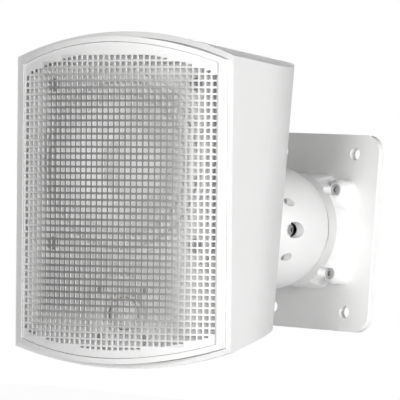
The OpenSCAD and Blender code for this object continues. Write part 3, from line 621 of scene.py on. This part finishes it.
def face(*points, bar=False):
    """A face with its doubled points left out. Bars take the second paint, whose grey is painted shade.
    """
    ring = [p for k, p in enumerate(points) if p is not points[k - 1]]
    if len(ring) > 2 and form.faces.get(ring) is None:
        form.faces.new(ring).material_index = 1 if bar else 0


def plain(shape):
    """The same outline on the sheet's face and, the other way round, on its back."""
    face(*[point(*p, 0.0) for p in shape])
    face(*[point(*p, SHEET_T) for p in reversed(shape)])


def hole_ring(arc, z, height, grow):
    """Eight points round a hole with cut corners, starting at the right of its lower side."""
    w, h, c = HOLE_W / 2 + grow, height / 2 + grow, HOLE_CORNER + grow
    ring = ((w - c, -h), (w, c - h), (w, h - c), (w - c, h),
            (c - w, h), (-w, h - c), (-w, c - h), (c - w, -h))
    return [(arc + x, z + y) for x, y in ring]


def pierced(a0, a1, z0, z1, low, high):
    """One cell with its hole, which keeps between low and high: face, chamfer, wall and back."""
    low, high = max(low, z0 + EDGE_OF_CELL), min(high, z1 - EDGE_OF_CELL)
    hole = ((a0 + a1) / 2, (low + high) / 2, high - low)
    cell = [(a1, z0), (a1, z1), (a0, z1), (a0, z0)]
    rings = [[point(*p, 0.0) for p in hole_ring(*hole, HOLE_CHAMFER)],
             [point(*p, HOLE_CHAMFER) for p in hole_ring(*hole, 0)],
             [point(*p, SHEET_T) for p in hole_ring(*hole, 0)]]
    for ring, depth, front in ((rings[0], 0.0, True), (rings[2], SHEET_T, False)):
        box = [point(*p, depth) for p in cell]
        for k in range(4):
            corner = [box[k], ring[2 * k + 1], ring[2 * k]]
            edge = [box[k], box[(k + 1) % 4], ring[(2 * k + 2) % 8], ring[2 * k + 1]]
            for part in (corner, edge):
                face(*(part if front else reversed(part)), bar=front)
    for upper, lower, front in ((rings[0], rings[1], True), (rings[1], rings[2], False)):
        for k in range(8):
            n = (k + 1) % 8
            face(upper[k], upper[n], lower[n], lower[k], bar=front)


holes = 0
for a0, a1 in zip(lines, lines[1:]):
    whole = abs((a1 - a0) - COLUMN_PITCH) < PITCH_PLAY
    top0, top1, low0, low1 = top_of(a0), top_of(a1), bottom_of(a0), bottom_of(a1)
    left = [z for z in rows if low0 + CLEAR_OF_RIM < z < top0 - CLEAR_OF_RIM]
    right = [z for z in rows if low1 + CLEAR_OF_RIM < z < top1 - CLEAR_OF_RIM]
    shared = [z for z in left if z in right]
    highest, lowest = min(top0, top1) - BORDER_TOP, max(low0, low1) + BORDER_BOTTOM
    for z0, z1 in zip(shared, shared[1:]):
        least_top, least_bottom = z0 + EDGE_OF_CELL + LEAST_HOLE, z1 - EDGE_OF_CELL - LEAST_HOLE
        if whole and least_top < highest and least_bottom > lowest:
            pierced(a0, a1, z0, z1, lowest, highest)
            holes += 1
        else:
            plain([(a0, z0), (a1, z0), (a1, z1), (a0, z1)])
    first, last = shared[0], shared[-1]
    plain([(a0, last), (a1, last)] + [(a1, z) for z in right if z > last]
          + [(a1, top1), (a0, top0)] + [(a0, z) for z in reversed(left) if z > last])
    plain([(a1, first), (a0, first)] + [(a0, z) for z in reversed(left) if z < first]
          + [(a0, low0), (a1, low1)] + [(a1, z) for z in right if z < first])
print(holes, "holes")

# %% [markdown]
# The folded edge follows the outline of the sheet. It is found from the sheet itself: every edge that
# has a face on one side only is part of the rim. The front rim is joined to the end of the fold by a
# strip, and the back rim by a second strip a sheet's thickness further in.

# %% Fold the rim to the rear
CORNER_Z = 70.0  # above this height the points on the sides belong to the corners


def on_side(arc):
    return abs(abs(arc) - half_arc) < RIM_PLAY


def on_rim(arc, z):
    return on_side(arc) or abs(z - top_of(arc)) < RIM_PLAY or abs(z - bottom_of(arc)) < RIM_PLAY


place_of = {v: key for key, v in known.items()}
rim = {0.0: [], SHEET_T: []}
for edge in form.edges:
    if len(edge.link_faces) == 1:
        p, q = (place_of[v] for v in edge.verts)
        if p[2] == q[2] and p[2] in rim and on_rim(*p[:2]) and on_rim(*q[:2]):
            rim[p[2]].append((edge.verts[0], edge.verts[1]))
inward, fold_end = {}, {}
for depth, edges in rim.items():
    for v in dict.fromkeys(v for pair in edges for v in pair):
        arc, z, _ = place_of[v]
        shift = SHEET_T if depth else 0.0
        pull = Vector((
            -math.copysign(shift, arc) if on_side(arc) else 0, 0,
            -math.copysign(shift, z) if not on_side(arc) or abs(z) > CORNER_Z else 0)) * MM
        if depth:
            inward[v] = form.verts.new(v.co + pull)
        fold_end[v] = form.verts.new(v.co + pull + Vector((0, FOLD_DEPTH - depth, 0)) * MM)
for v0, v1 in rim[0.0]:
    face(v0, v1, fold_end[v1], fold_end[v0])
for v0, v1 in rim[SHEET_T]:
    face(v0, v1, inward[v1], inward[v0])
    face(inward[v0], inward[v1], fold_end[v1], fold_end[v0])
behind = {place_of[v][:2]: v for pair in rim[SHEET_T] for v in pair}
for v0, v1 in rim[0.0]:
    w0, w1 = (behind[place_of[v][:2]] for v in (v0, v1))
    face(fold_end[v0], fold_end[v1], fold_end[w1], fold_end[w0])
# The second paint, on the bars' front faces, is the painted shade.
paints = [BORDER_PAINT, FINISHES["grille_paint"]]
grille_sheet = drawn("grille_sheet", form, paints, in_cabinet)
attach(grille_sheet, "speaker")
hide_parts("grille")

# %% [markdown]
# Where the front frame stands out of the cabinet shell the photo shows a fine dark line all round. It
# is drawn as a near-black bead in the groove between the two, which is painted shade for the seam: a
# closed ring that follows the arched outline, a little way down in the groove.

# %% Dark bead of painted shade round the front
ROOF_FALL, FLOOR_RISE = math.radians(3.5), math.radians(9.5)
BEAD_OUT, BEAD_IN, BEAD_FRONT, BEAD_BACK, BEAD_CUT = 2.55, 3.36, 4.35, 5.6, 0.25
ARCH_STEPS = 40


def outline(inset, y):
    """Points round the cabinet, moved in by inset, at a depth where roof and floor taper."""
    w = HALF_W - inset
    xs = [w - 2 * w * k / ARCH_STEPS for k in range(ARCH_STEPS + 1)]
    fall, rise = math.tan(ROOF_FALL) * y, math.tan(FLOOR_RISE) * y
    top = [Vector((x, y, arch_height(x, TOP_SAG, inset) - fall)) for x in xs]
    bottom = [Vector((x, y, rise - arch_height(x, BOTTOM_SAG, inset))) for x in reversed(xs)]
    return top + bottom


form = bmesh.new()
section = [(BEAD_OUT, BEAD_BACK), (BEAD_OUT, BEAD_FRONT + BEAD_CUT), (BEAD_OUT + BEAD_CUT, BEAD_FRONT),
           (BEAD_IN, BEAD_FRONT), (BEAD_IN, BEAD_BACK)]
loops = [[form.verts.new(p * MM) for p in outline(inset, y)] for inset, y in section]
for loop, inner in zip(loops, loops[1:] + loops[:1]):
    for i in range(len(loop)):
        n = (i + 1) % len(loop)
        form.faces.new((loop[i], loop[n], inner[n], inner[i]))
put("seam_shade_bead", form, [SEAM_SHADE_PAINT], "speaker", in_cabinet)

# %% [markdown]
# The dust cap closes the middle of the woofer. A real one is a shallow pressed dome with a narrow lip
# that is glued to the cone, so this one is turned from a profile whose lip follows the cone. It stands
# for the plainer CAD cap and rides with the cone.

# %% Dust cap with its glued lip
WOOFER_Z, BAFFLE_Y = 20.0, 7.0
CAP_FRONT, CAP_R, CAP_EDGE, CAP_T = 1.7, 30.7, 19.6, 0.5
LIP = [(20.1, 8.82), (20.5, 8.6), (21.3, 7.92)]  # radius and depth, out along the cone
TURN_STEPS, DOME_STEPS = 96, 16
woofer_place = Matrix.Translation(Vector((0, BAFFLE_Y, WOOFER_Z)) * MM)
in_woofer = in_cabinet @ woofer_place @ Matrix.Rotation(-math.pi / 2, 4, "X")
form = bmesh.new()


def turned(r, z):
    """A ring of vertices round the woofer's axis."""
    angles = [math.tau * k / TURN_STEPS for k in range(TURN_STEPS)]
    return [form.verts.new(Vector((r * math.cos(a), r * math.sin(a), z)) * MM) for a in angles]


radii = [CAP_EDGE * k / DOME_STEPS for k in range(1, DOME_STEPS + 1)]
front_side = [(r, CAP_FRONT + CAP_R - math.sqrt(CAP_R**2 - r**2)) for r in radii] + LIP
back_side = [(r, z + CAP_T) for r, z in reversed(front_side)]
tips = [form.verts.new(Vector((0, 0, z)) * MM) for z in (CAP_FRONT, CAP_FRONT + CAP_T)]
rings = [turned(r, z) for r, z in front_side + back_side]
for k in range(TURN_STEPS):
    n = (k + 1) % TURN_STEPS
    for ring, following in zip(rings, rings[1:]):
        form.faces.new((ring[k], ring[n], following[n], following[k]))
    for tip, ring in ((tips[0], rings[0]), (tips[1], rings[-1])):
        form.faces.new((tip, ring[k], ring[n]))
paper_cap = [FINISHES["cone_paper"]]
cap = put("dust_cap_with_lip", form, paper_cap, "woofer_diaphragm", in_woofer)
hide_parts("woofer_dust_cap")

# %% [markdown]
# Last, the CAD nodes get their smooth shading. It is set here on the mesh's own edges, which changes
# no point of it.

# %% Shade the CAD nodes
for node in nodes.values():
    smooth_by_angle(node.data)
